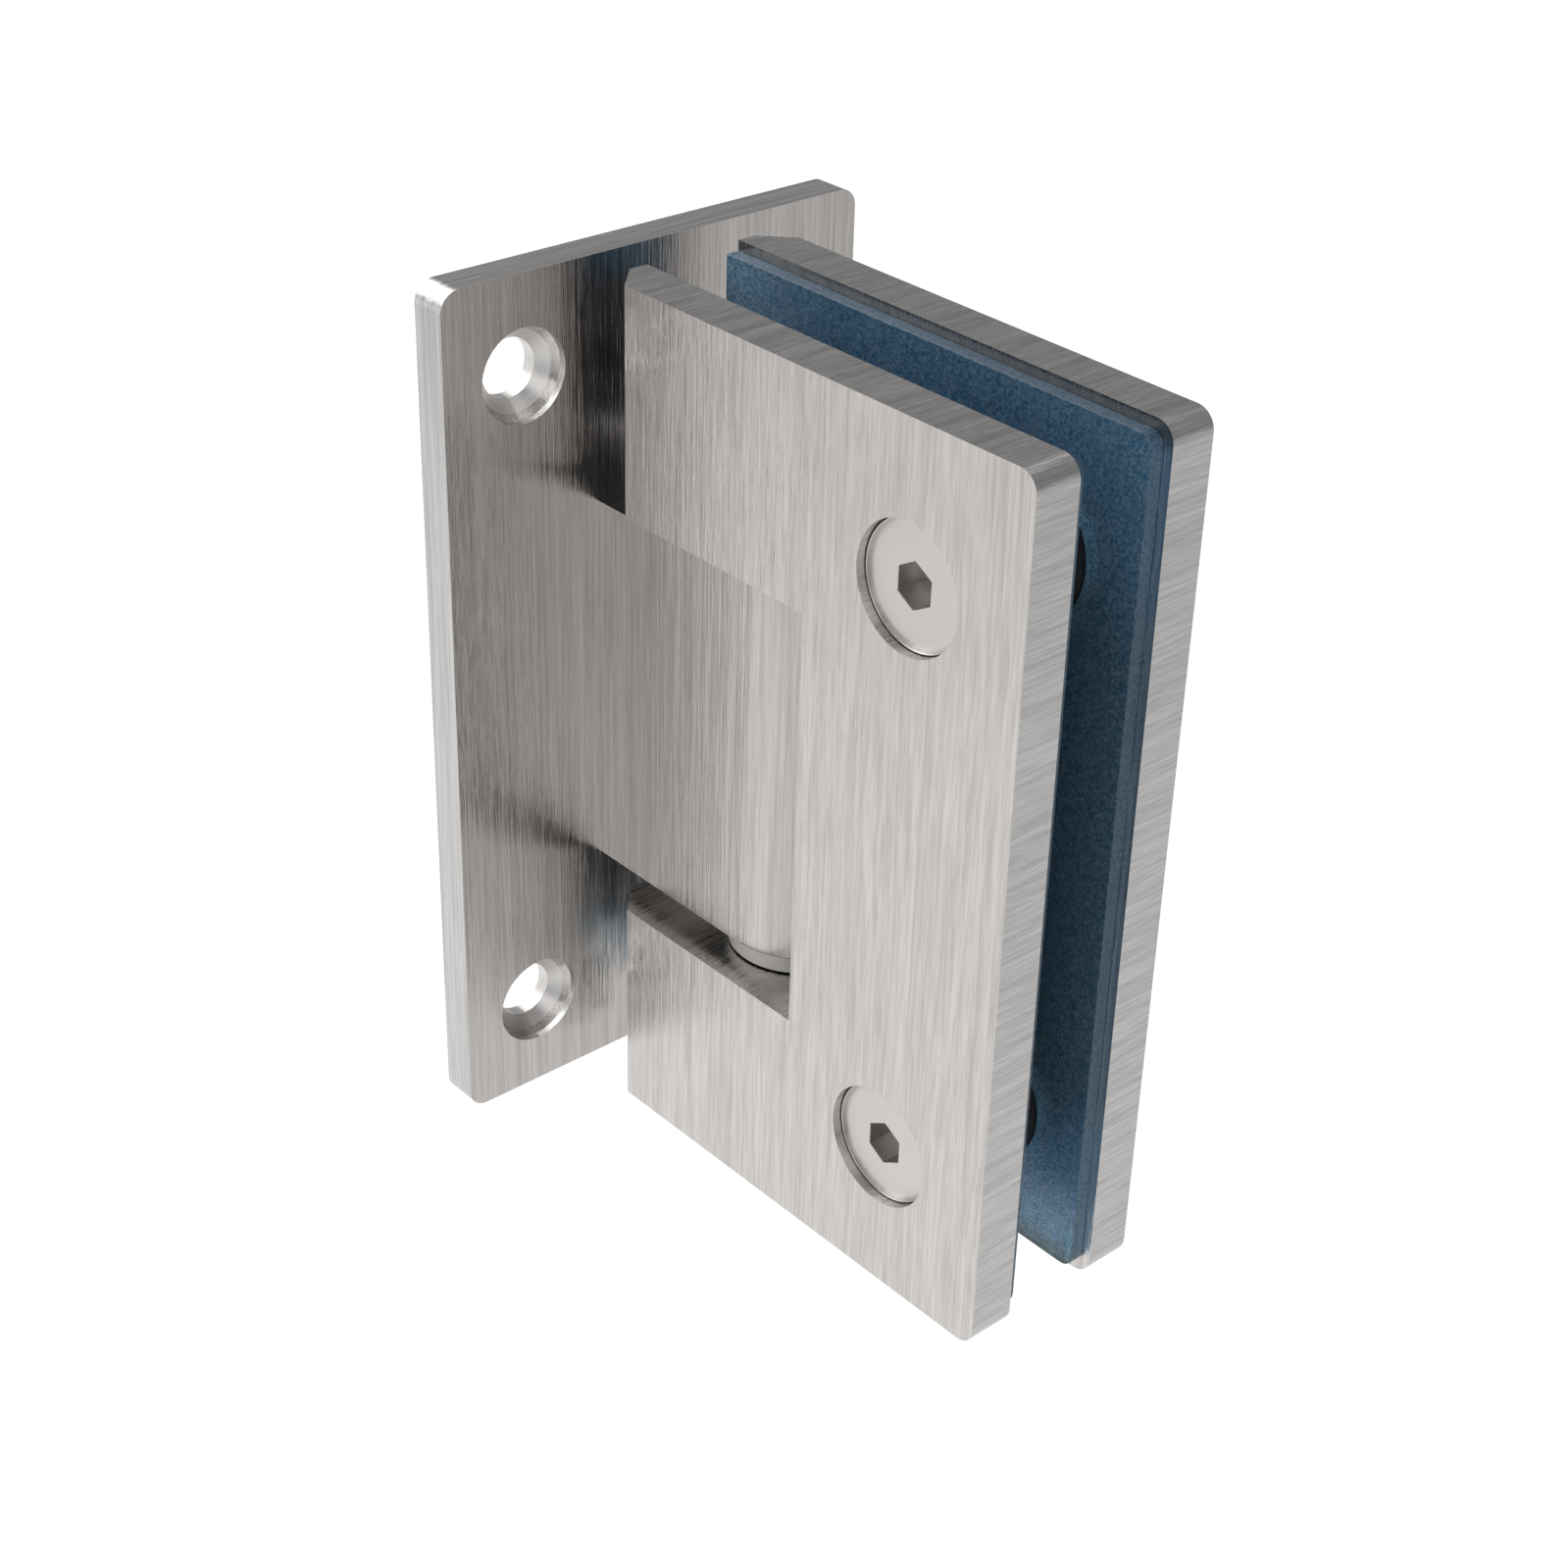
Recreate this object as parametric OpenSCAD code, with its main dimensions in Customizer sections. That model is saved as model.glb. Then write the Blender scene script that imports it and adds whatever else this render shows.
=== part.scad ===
// Wall to glass door hinge: a fixed wall plate with a sprung knuckle, and a two plate clamp that
// holds the edge of a glass door and swings on an upright pin.
// The origin is the centre of the wall plate's back face. +X points out of the wall, towards the
// glass, and +Z runs up, along the hinge axis. All sizes are in millimetres.

/* [Overall] */
// Height of the wall plate and of both clamp plates
hinge_height = 90; // [84:1:110]
// Distance from the wall to the hinge axis
axis_from_wall = 26.5; // [26:0.5:28]

/* [Wall plate] */
// Width of the wall plate
wall_plate_w = 50; // [46:1:70]
// Thickness of the wall plate
wall_plate_t = 4; // [3.5:0.1:5]
// Radius of the wall plate's corners
wall_plate_corner_r = 2; // [0.5:0.1:5]
// Distance from the sides of the wall plate to its screw holes
wall_screw_edge_y = 9; // [8:0.5:11]
// Distance from the top and bottom of the wall plate to its screw holes
wall_screw_edge_z = 10; // [8:0.5:15]
// Bore of the wall screw holes
wall_screw_hole_d = 6; // [4.5:0.1:6.5]
// Mouth of the wall screw countersinks
wall_screw_head_d = 9.5; // [8.5:0.1:10.5]
// Depth of the straight lip at the mouth of each countersink
wall_screw_lip = 0.75; // [0.2:0.05:0.8]

/* [Knuckle] */
// Width of the tongue, and diameter of the barrel at its end
knuckle_w = 15; // [14.2:0.1:17]
// Height of the knuckle
knuckle_h = 40; // [36:0.5:46]
// Radius of the rounded rims of the barrel
barrel_rim_r = 0.3; // [0.2:0.1:1]
// Thread of the screws that hold the knuckle to the wall plate
knuckle_screw_d = 5; // [4:0.1:5.5]
// Head diameter of the knuckle screws
knuckle_screw_head_d = 9.2; // [8:0.1:9.6]
// Distance from the top and bottom of the knuckle to its screws
knuckle_screw_edge = 4.5; // [3.5:0.1:5]
// Depth that the knuckle screws reach into the knuckle
knuckle_screw_reach = 11; // [8:0.5:12]

/* [Bushes] */
// Outside diameter of the bushes in the knuckle
bush_d = 12; // [11:0.1:12.6]
// Length of each bush inside the knuckle
bush_l = 8; // [6:0.1:8.5]
// Diameter of the collar that spaces the knuckle from the clamp
collar_d = 14.2; // [12.8:0.1:15]

/* [Hinge pin] */
// Diameter of the hinge pin
pin_d = 9; // [8:0.1:9.4]
// Distance across the four flats that hold the door open or shut
pin_flats = 7.2; // [6.8:0.1:7.6]
// Depth of the pin's ends below the faces of the pin blocks
pin_end_inset = 1; // [0.5:0.1:2]
// Bevel on the ends of the pin
pin_end_bevel = 0.5; // [0.2:0.1:1]

/* [Press bar and springs] */
// Width of the press bar that bears on the pin's flats
bar_w = 7.8; // [7:0.1:8.6]
// Distance from the ends of the press bar to the bushes
bar_end_gap = 1.2; // [0.8:0.1:2]
// Thickness of the press bar
bar_t = 6; // [5:0.1:6.5]
// Bevel along the press bar's two bearing edges
bar_bevel = 0.8; // [0.3:0.1:1]
// Distance between the two springs
spring_spacing = 11; // [9:0.5:13]
// Outside diameter of the springs
spring_d = 6.4; // [5.8:0.1:7]
// Thickness of the spring wire
spring_wire_d = 0.9; // [0.6:0.1:1.1]
// Number of coils in each spring
spring_turns = 6; // [4:1:7]
// Length of the spigots that guide the springs
spigot_l = 4; // [2:0.5:5]

/* [Clamp plates] */
// Depth of the clamp plates, from the wall side to the glass side
clamp_depth = 55; // [53:0.5:70]
// Thickness of each clamp plate
clamp_t = 5; // [4.5:0.1:7]
// Distance between the wall plate and the clamp plates
clamp_wall_gap = 5; // [4.6:0.1:6]
// Radius of the glass side corners
clamp_corner_r = 2; // [0.5:0.1:5]
// Bevel along the wall side edges
clamp_bevel = 3; // [1:0.1:4]
// Space above and below the knuckle in the clamp's notch
notch_gap = 2; // [1.5:0.1:3]
// Depth of the notch around the knuckle
notch_depth = 28; // [27:0.5:29]

/* [Glass and gaskets] */
// Thickness of the glass that the hinge takes
glass_t = 8; // [8:0.5:12]
// Thickness of each gasket
gasket_t = 1.5; // [1.2:0.1:2]
// Distance from the plate edge to the gasket edge
gasket_inset = 1; // [0.5:0.1:3]
// Radius of the gasket's glass side corners
gasket_corner_r = 1; // [0.3:0.1:3]
// Outside diameter of the sleeves around the clamp screws
sleeve_d = 13.6; // [10:0.1:15]

/* [Clamp screws] */
// Distance from the glass side edge to the clamp screws
clamp_screw_inset = 14; // [12:0.5:15]
// Distance from the top and bottom of the clamp plates to the clamp screws
clamp_screw_edge = 15.5; // [10:0.5:18]
// Thread of the clamp screws
clamp_screw_d = 6; // [5:0.1:6.4]
// Head diameter of the clamp screws
clamp_screw_head_d = 12.1; // [10:0.1:13]
// Head thickness of the clamp screws
clamp_screw_head_h = 2; // [1.4:0.1:2.4]
// Radius of the rounded rim of the heads
clamp_screw_rim_r = 0.6; // [0.2:0.1:1]
// Depth of the heads below the face of the plate
clamp_screw_sink = 0.9; // [0.1:0.1:1.2]
// Distance across the flats of the socket
clamp_screw_socket = 4; // [3:0.1:4.2]
// Depth of the socket
clamp_screw_socket_depth = 3; // [2:0.1:4]

/* [Pin blocks] */
// Width of the pin blocks
block_w = 22.5; // [21.5:0.5:24]
// Height of the pin blocks
block_h = 15; // [14.5:0.5:16]
// Thread of the screws that hold the pin blocks to the rear plate
block_screw_d = 3; // [2.5:0.1:3.2]
// Head diameter of the block screws
block_screw_head_d = 5.5; // [4.5:0.1:5.6]
// Head height of the block screws
block_screw_head_h = 2; // [1.5:0.1:2.2]
// Sideways distance between the block screws
block_screw_spacing_x = 14.5; // [14:0.1:15.5]
// Upright distance between the block screws
block_screw_spacing_z = 8; // [7.6:0.1:9]
// Thread of the grub screws that lock the pin
grub_d = 4; // [3:0.1:4.2]
// Depth of the flat that each grub screw bears on
grub_flat_depth = 0.4; // [0.2:0.1:0.8]

/* [Fits] */
// Radial play of the pin in its bushes
running_play = 0.05; // [0.01:0.01:0.1]
// Play of the press bar in its pocket
sliding_play = 0.1; // [0.05:0.05:0.2]
// Play between each collar and the clamp
thrust_play = 0.1; // [0.05:0.05:0.3]
// Play of the screws in their through holes
screw_play = 0.2; // [0.1:0.05:0.4]
// Gap between the pin's edges and the drawn back press bar
bar_clear = 0.3; // [0.2:0.05:0.5]

/* [Hidden] */
$fn = 96;

// cut is how far a cutting shape runs past the face it opens
cut = 1;

// block_front_play lets the front plate close on the gaskets and not on the pin blocks
block_front_play = 0.2;
// block_margin is the distance from the pin blocks to the gaskets
block_margin = 0.7;
// skin is what is left of the rear plate behind its blind threads
skin = 0.8;
// thread_end_play is the empty end of each blind thread
thread_end_play = 0.2;
// head_play is the gap around a sunk screw head
head_play = 0.2;
// pin_room is the gap round the pin between its bushes
pin_room = 0.3;
// knuckle_screw_sink is how deep the knuckle screw heads lie below the plate's back
knuckle_screw_sink = 0.2;
knuckle_socket = 3;
knuckle_socket_depth = 1.8;
block_socket = 2;
block_socket_depth = 1.2;
grub_socket = 2;
grub_socket_depth = 2;
grub_sink = 0.3;
// spring_seat_play is the gap at each end of a spring
spring_seat_play = 0.05;
// coil_steps and wire_sides set how finely the spring wire is divided
coil_steps = 18;
wire_sides = 8;

// Places along X, from the wall
clamp_x0 = wall_plate_t + clamp_wall_gap;
clamp_x1 = clamp_x0 + clamp_depth;
clamp_screw_x = clamp_x1 - clamp_screw_inset;
block_x0 = axis_from_wall - block_w / 2;
block_x1 = axis_from_wall + block_w / 2;
bar_front_x = axis_from_wall - pin_d / 2 - bar_clear;
bar_back_x = bar_front_x - bar_t;

// Places along Y, from the middle of the glass
wall_screw_y = wall_plate_w / 2 - wall_screw_edge_y;
glass_y = glass_t / 2;
clamp_in_y = glass_y + gasket_t;
clamp_out_y = clamp_in_y + clamp_t;
head_top_y = clamp_out_y - clamp_screw_sink;
head_seat_y = head_top_y - clamp_screw_head_h;
block_front_y = clamp_in_y - block_front_play;

// Places along Z, from mid height
wall_screw_z = hinge_height / 2 - wall_screw_edge_z;
clamp_screw_z = hinge_height / 2 - clamp_screw_edge;
knuckle_screw_z = knuckle_h / 2 - knuckle_screw_edge;
block_z0 = knuckle_h / 2 + notch_gap;
block_z1 = block_z0 + block_h;
block_mid_z = (block_z0 + block_z1) / 2;
pin_half_l = block_z1 - pin_end_inset;
gasket_top_z = hinge_height / 2 - gasket_inset;

// Heights that follow from the knuckle
notch_h = knuckle_h + 2 * notch_gap;
collar_h = notch_gap - thrust_play;
bar_h = knuckle_h - 2 * (bush_l + bar_end_gap);

// Turns a shape made along Z so that it runs along X
module along_x() {
    rotate([0, 90, 0]) children();
}

// Turns a shape made along Z so that it runs along Y
module along_y() {
    rotate([-90, 0, 0]) children();
}

// Extrudes an outline drawn in X and Z, between two places along Y
module slab_y(y0, y1) {
    translate([0, y1, 0]) rotate([90, 0, 0]) linear_extrude(y1 - y0) children();
}

// Extrudes an outline drawn in Y and Z, between two places along X
module slab_x(x0, x1) {
    translate([x0, 0, 0]) rotate([90, 0, 90]) linear_extrude(x1 - x0) children();
}

// Rectangle with four round corners, centred
module round_rect(w, h, r) {
    square([w - 2 * r, h], center = true);
    square([w, h - 2 * r], center = true);
    for (x = [-1, 1], y = [-1, 1])
        translate([x * (w / 2 - r), y * (h / 2 - r)]) circle(r);
}

// Rectangle from x0 to x1 whose two corners at x1 are round
module end_rounded_rect(x0, x1, h, r) {
    translate([x0, -h / 2]) square([x1 - r - x0, h]);
    translate([x0, -h / 2 + r]) square([x1 - x0, h - 2 * r]);
    for (y = [-1, 1])
        translate([x1 - r, y * (h / 2 - r)]) circle(r);
}

// Disc of radius r and height h on Z, with a rounded rim at its top
module round_rim_disc(r, h, rim) {
    rotate_extrude() {
        square([r, h - rim]);
        square([r - rim, h]);
        translate([r - rim, h - rim]) circle(rim, $fn = 48);
    }
}

// Six sided socket cutter, with its corners above and below, cut down from z = 0
module socket_cutter(across, depth) {
    translate([0, 0, -depth]) rotate([0, 0, 30])
        cylinder(h = depth + cut, d = across / cos(30), $fn = 6);
}

// Straight hole along X
module bore_x(x0, x1, d) {
    translate([x0, 0, 0]) along_x() cylinder(h = x1 - x0, d = d);
}

// Straight hole along Y
module bore_y(y0, y1, d) {
    translate([0, y0, 0]) along_y() cylinder(h = y1 - y0, d = d);
}

// Plate screwed to the wall, with four countersunk holes and the knuckle's two screw seats
module wall_plate() {
    cone_h = (wall_screw_head_d - wall_screw_hole_d) / 2;
    lip_x = wall_plate_t - wall_screw_lip;
    color("silver") difference() {
        slab_x(0, wall_plate_t) round_rect(wall_plate_w, hinge_height, wall_plate_corner_r);
        for (y = [-1, 1], z = [-1, 1])
            translate([0, y * wall_screw_y, z * wall_screw_z]) {
                bore_x(-cut, wall_plate_t + cut, wall_screw_hole_d);
                translate([lip_x - cone_h, 0, 0]) along_x()
                    cylinder(h = cone_h, d1 = wall_screw_hole_d, d2 = wall_screw_head_d);
                bore_x(lip_x, wall_plate_t + cut, wall_screw_head_d);
            }
        for (z = [-1, 1])
            translate([0, 0, z * knuckle_screw_z]) {
                bore_x(-cut, wall_plate_t + cut, knuckle_screw_d + 2 * screw_play);
                knuckle_screw_seat();
            }
    }
}

// Cone that seats a knuckle screw's head, open at the wall plate's back
module knuckle_screw_seat() {
    mouth_d = knuckle_screw_head_d + 2 * knuckle_screw_sink;
    translate([-cut, 0, 0]) along_x()
        cylinder(h = cut + mouth_d / 2, d1 = mouth_d + 2 * cut, d2 = 0);
}

// Tongue that stands out from the wall plate, ending in the barrel round the hinge pin
module knuckle_block() {
    pocket_w = bar_w + 2 * sliding_play;
    pocket_h = bar_h + 2 * sliding_play;
    bush_z = knuckle_h / 2 - bush_l;
    pin_room_d = pin_d + 2 * pin_room;
    color("gainsboro") difference() {
        union() {
            translate([wall_plate_t, -knuckle_w / 2, -knuckle_h / 2])
                cube([axis_from_wall - wall_plate_t, knuckle_w, knuckle_h]);
            translate([axis_from_wall, 0, 0])
                for (turned = [0, 180])
                    rotate([turned, 0, 0])
                        round_rim_disc(knuckle_w / 2, knuckle_h / 2, barrel_rim_r);
        }
        translate([axis_from_wall, 0, 0]) {
            cylinder(h = knuckle_h, d = pin_room_d, center = true);
            for (turned = [0, 180])
                rotate([turned, 0, 0]) translate([0, 0, bush_z])
                    cylinder(h = bush_l + cut, d = bush_d);
        }
        translate([wall_plate_t - cut, -pocket_w / 2, -pocket_h / 2])
            cube([axis_from_wall - wall_plate_t + cut, pocket_w, pocket_h]);
        for (z = [-1, 1])
            translate([0, 0, z * knuckle_screw_z])
                bore_x(wall_plate_t - cut,
                    wall_plate_t + knuckle_screw_reach + thread_end_play, knuckle_screw_d);
    }
}

// Two countersunk screws that hold the knuckle from behind
module knuckle_screws() {
    cone_h = (knuckle_screw_head_d - knuckle_screw_d) / 2;
    color("dimgray") for (z = [-1, 1])
        translate([knuckle_screw_sink, 0, z * knuckle_screw_z]) difference() {
            union() {
                along_x() cylinder(h = cone_h, d1 = knuckle_screw_head_d, d2 = knuckle_screw_d);
                bore_x(0, wall_plate_t + knuckle_screw_reach - knuckle_screw_sink,
                    knuckle_screw_d);
            }
            rotate([0, -90, 0]) socket_cutter(knuckle_socket, knuckle_socket_depth);
        }
}

// Flanged bush in the top of the knuckle, whose collar carries the clamp
module upper_bush() {
    color("whitesmoke") translate([axis_from_wall, 0, knuckle_h / 2]) difference() {
        union() {
            translate([0, 0, -bush_l]) cylinder(h = bush_l, d = bush_d);
            cylinder(h = collar_h, d = collar_d);
        }
        translate([0, 0, -bush_l - cut])
            cylinder(h = bush_l + collar_h + 2 * cut, d = pin_d + 2 * running_play);
    }
}

module lower_bush() {
    mirror([0, 0, 1]) upper_bush();
}

// Bar pressed on the pin's flats by two springs, drawn here clear of the pin's edges
module press_bar() {
    spigot_d = spring_d - 2 * spring_wire_d - 2 * screw_play;
    color("slategray") {
        translate([0, 0, -bar_h / 2]) linear_extrude(bar_h)
            polygon([
                [bar_back_x, -bar_w / 2],
                [bar_front_x - bar_bevel, -bar_w / 2],
                [bar_front_x, -bar_w / 2 + bar_bevel],
                [bar_front_x, bar_w / 2 - bar_bevel],
                [bar_front_x - bar_bevel, bar_w / 2],
                [bar_back_x, bar_w / 2]
            ]);
        for (z = [-1, 1])
            translate([0, 0, z * spring_spacing / 2])
                bore_x(bar_back_x - spigot_l, bar_back_x + bar_t / 2, spigot_d);
    }
}

// Height of the wire's centre line after t turns, with a closed turn at each end
function coil_rise(t, turns, rise) =
    let (end_turns = 0.75, end_rise = 1.02 * spring_wire_d * end_turns)
    t < end_turns ? end_rise * t / end_turns :
    t > turns - end_turns ? rise - end_rise * (turns - t) / end_turns :
    end_rise + (rise - 2 * end_rise) * (t - end_turns) / (turns - 2 * end_turns);

// Compression spring on Z, a round wire swept along a helix with closed ends
module coil_spring(length, coil_d, turns) {
    steps = turns * coil_steps;
    points = [
        for (i = [0:steps], j = [0:wire_sides - 1])
            let (
                t = i / coil_steps,
                out = coil_d / 2 - spring_wire_d / 2 * (1 - cos(360 * j / wire_sides)),
                up = spring_wire_d / 2 * (1 + sin(360 * j / wire_sides))
            )
            [
                out * cos(360 * t),
                out * sin(360 * t),
                coil_rise(t, turns, length - spring_wire_d) + up
            ]
    ];
    sides = [
        for (i = [0:steps - 1], j = [0:wire_sides - 1])
            let (
                a = i * wire_sides + j,
                b = i * wire_sides + (j + 1) % wire_sides,
                c = a + wire_sides,
                d = b + wire_sides
            )
            each [[a, b, d], [a, d, c]]
    ];
    first_end = [for (j = [wire_sides - 1:-1:0]) j];
    last_end = [for (j = [0:wire_sides - 1]) steps * wire_sides + j];
    polyhedron(points = points, faces = concat([first_end, last_end], sides), convexity = 8);
}

// Spring between the wall plate and the press bar
module upper_spring() {
    spring_l = bar_back_x - wall_plate_t - 2 * spring_seat_play;
    color("darkgray")
        translate([wall_plate_t + spring_seat_play, 0, spring_spacing / 2])
            along_x() coil_spring(spring_l, spring_d, spring_turns);
}

module lower_spring() {
    translate([0, 0, -spring_spacing]) upper_spring();
}

// Pin through the knuckle, with four flats in the middle and one flat for each grub screw
module hinge_pin() {
    flat_l = bar_h + 4 * sliding_play;
    straight_l = 2 * (pin_half_l - pin_end_bevel);
    grub_flat_l = grub_d + 2 * screw_play;
    color("lightsteelblue") translate([axis_from_wall, 0, 0]) difference() {
        union() {
            cylinder(h = straight_l, d = pin_d, center = true);
            for (turned = [0, 180])
                rotate([turned, 0, 0]) translate([0, 0, straight_l / 2])
                    cylinder(h = pin_end_bevel, d1 = pin_d, d2 = pin_d - 2 * pin_end_bevel);
        }
        for (turned = [0:90:270])
            rotate([0, 0, turned]) translate([pin_flats / 2, -pin_d, -flat_l / 2])
                cube([pin_d, 2 * pin_d, flat_l]);
        for (z = [-1, 1])
            translate([-pin_d / 2 - cut, -pin_d, z * block_mid_z - grub_flat_l / 2])
                cube([cut + grub_flat_depth, 2 * pin_d, grub_flat_l]);
    }
}

// Block on the rear plate that grips the upper end of the pin
module upper_pin_block() {
    seat_y = -block_front_y + block_screw_head_h + thread_end_play;
    color("steelblue") difference() {
        translate([block_x0, -block_front_y, block_z0])
            cube([block_w, block_front_y + clamp_in_y, block_h]);
        translate([axis_from_wall, 0, block_z0 - cut])
            cylinder(h = block_h + 2 * cut, d = pin_d);
        for (side = [-1, 1])
            translate([axis_from_wall + side * block_screw_spacing_x / 2, 0,
                    block_mid_z + side * block_screw_spacing_z / 2]) {
                bore_y(-clamp_in_y - cut, clamp_in_y + cut, block_screw_d + 2 * screw_play);
                bore_y(-clamp_in_y - cut, seat_y, block_screw_head_d + 2 * head_play);
            }
        translate([0, 0, block_mid_z]) bore_x(block_x0 - cut, axis_from_wall, grub_d);
    }
}

module lower_pin_block() {
    mirror([0, 0, 1]) upper_pin_block();
}

// Two cap screws that hold the upper pin block to the rear plate
module upper_block_screws() {
    seat_y = -block_front_y + block_screw_head_h + thread_end_play;
    tip_y = clamp_out_y - skin - thread_end_play;
    color("dimgray") for (side = [-1, 1])
        translate([axis_from_wall + side * block_screw_spacing_x / 2, 0,
                block_mid_z + side * block_screw_spacing_z / 2]) difference() {
            union() {
                bore_y(seat_y - block_screw_head_h, seat_y, block_screw_head_d);
                bore_y(seat_y - block_screw_head_h, tip_y, block_screw_d);
            }
            translate([0, seat_y - block_screw_head_h, 0]) rotate([90, 0, 0])
                socket_cutter(block_socket, block_socket_depth);
        }
}

module lower_block_screws() {
    mirror([0, 0, 1]) upper_block_screws();
}

// Grub screw that locks the pin in the upper block
module upper_pin_grub() {
    tip_x = axis_from_wall - pin_d / 2 + grub_flat_depth;
    color("black") translate([0, 0, block_mid_z]) difference() {
        bore_x(block_x0 + grub_sink, tip_x, grub_d);
        translate([block_x0 + grub_sink, 0, 0]) rotate([0, -90, 0])
            socket_cutter(grub_socket, grub_socket_depth);
    }
}

module lower_pin_grub() {
    mirror([0, 0, 1]) upper_pin_grub();
}

// Outline of a clamp plate, with the notch that clears the knuckle
module clamp_outline() {
    difference() {
        end_rounded_rect(clamp_x0, clamp_x1, hinge_height, clamp_corner_r);
        translate([clamp_x0 - cut, -notch_h / 2]) square([notch_depth + cut, notch_h]);
    }
}

// Blank of the rear clamp plate, with its wall side edge bevelled
module clamp_blank() {
    difference() {
        slab_y(clamp_in_y, clamp_out_y) clamp_outline();
        translate([clamp_x0, clamp_out_y, 0]) rotate([0, 0, 45])
            cube([clamp_bevel * sqrt(2), clamp_bevel * sqrt(2), hinge_height + 2 * cut],
                center = true);
    }
}

// Places a shape on the axis of each clamp screw
module at_clamp_screws() {
    for (z = [-1, 1])
        translate([clamp_screw_x, 0, z * clamp_screw_z]) children();
}

// Front plate, counterbored for the heads of the clamp screws
module front_clamp_plate() {
    color("silver") difference() {
        mirror([0, 1, 0]) clamp_blank();
        at_clamp_screws() {
            bore_y(-clamp_out_y - cut, -clamp_in_y + cut, clamp_screw_d + 2 * screw_play);
            bore_y(-clamp_out_y - cut, -head_seat_y, clamp_screw_head_d + 2 * head_play);
        }
    }
}

// Rear plate, with blind threads for the clamp screws and the block screws
module rear_clamp_plate() {
    color("gray") difference() {
        clamp_blank();
        at_clamp_screws() bore_y(clamp_in_y - cut, clamp_out_y - skin, clamp_screw_d);
        for (half = [-1, 1], side = [-1, 1])
            translate([axis_from_wall + side * block_screw_spacing_x / 2, 0,
                    half * (block_mid_z + side * block_screw_spacing_z / 2)])
                bore_y(clamp_in_y - cut, clamp_out_y - skin, block_screw_d);
    }
}

// Soft liner between the rear plate and the glass, cut back round the pin blocks
module rear_gasket() {
    cutout_x = block_x1 + block_margin;
    cutout_h = 2 * (block_z1 + block_margin);
    color("cadetblue") difference() {
        slab_y(glass_y, clamp_in_y) difference() {
            end_rounded_rect(clamp_x0, clamp_x1 - gasket_inset, 2 * gasket_top_z,
                gasket_corner_r);
            translate([clamp_x0 - cut, -cutout_h / 2])
                square([cutout_x - clamp_x0 + cut, cutout_h]);
        }
        at_clamp_screws() bore_y(glass_y - cut, clamp_in_y + cut, sleeve_d + 2 * head_play);
    }
}

module front_gasket() {
    mirror([0, 1, 0]) rear_gasket();
}

// Sleeve that keeps a clamp screw off the glass
module upper_sleeve() {
    color("black") translate([clamp_screw_x, 0, clamp_screw_z]) difference() {
        bore_y(-clamp_in_y, clamp_in_y, sleeve_d);
        bore_y(-clamp_in_y - cut, clamp_in_y + cut, clamp_screw_d + 2 * screw_play);
    }
}

module lower_sleeve() {
    mirror([0, 0, 1]) upper_sleeve();
}

// Flat headed clamp screw, from the front plate into the rear plate's thread
module upper_clamp_screw() {
    tip_y = clamp_out_y - skin - thread_end_play;
    color("lightgray") translate([clamp_screw_x, 0, clamp_screw_z]) difference() {
        union() {
            translate([0, -head_seat_y, 0]) rotate([90, 0, 0])
                round_rim_disc(clamp_screw_head_d / 2, clamp_screw_head_h, clamp_screw_rim_r);
            bore_y(-head_seat_y, tip_y, clamp_screw_d);
        }
        translate([0, -head_top_y, 0]) rotate([90, 0, 0])
            socket_cutter(clamp_screw_socket, clamp_screw_socket_depth);
    }
}

module lower_clamp_screw() {
    mirror([0, 0, 1]) upper_clamp_screw();
}

wall_plate();
knuckle_block();
knuckle_screws();
upper_bush();
lower_bush();
press_bar();
upper_spring();
lower_spring();
hinge_pin();
upper_pin_block();
lower_pin_block();
upper_block_screws();
lower_block_screws();
upper_pin_grub();
lower_pin_grub();
front_clamp_plate();
rear_clamp_plate();
front_gasket();
rear_gasket();
upper_sleeve();
lower_sleeve();
upper_clamp_screw();
lower_clamp_screw();
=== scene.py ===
import math

import bmesh
import bpy
import numpy as np
from mathutils import Matrix, Vector


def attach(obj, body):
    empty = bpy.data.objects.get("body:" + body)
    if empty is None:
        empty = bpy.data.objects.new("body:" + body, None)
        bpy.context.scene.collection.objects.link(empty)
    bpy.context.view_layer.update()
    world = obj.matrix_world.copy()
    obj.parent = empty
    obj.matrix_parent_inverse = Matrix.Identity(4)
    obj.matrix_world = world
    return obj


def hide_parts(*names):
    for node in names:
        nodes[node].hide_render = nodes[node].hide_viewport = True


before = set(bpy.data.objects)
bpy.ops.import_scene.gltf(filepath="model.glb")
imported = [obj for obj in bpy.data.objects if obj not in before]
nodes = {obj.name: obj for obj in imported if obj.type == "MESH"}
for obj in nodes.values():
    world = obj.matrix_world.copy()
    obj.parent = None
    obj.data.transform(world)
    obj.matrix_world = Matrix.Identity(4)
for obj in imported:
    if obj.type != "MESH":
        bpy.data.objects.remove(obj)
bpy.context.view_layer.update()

print("frame loaded:", len(nodes), "nodes")


cameraView = {
    "azimuth": 46.679,        # degrees round the hinge, 0 looks along +Y
    "elevation": 30.357,      # degrees downwards
    "roll": 2.324,
    "place": (0.19952, -0.15838, 0.13434),
    "lens": 64.0, "sensor": 36.0,
    "shift": (-0.0353, -0.0061),
    "clip": (0.01, 50.0),
}


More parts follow.
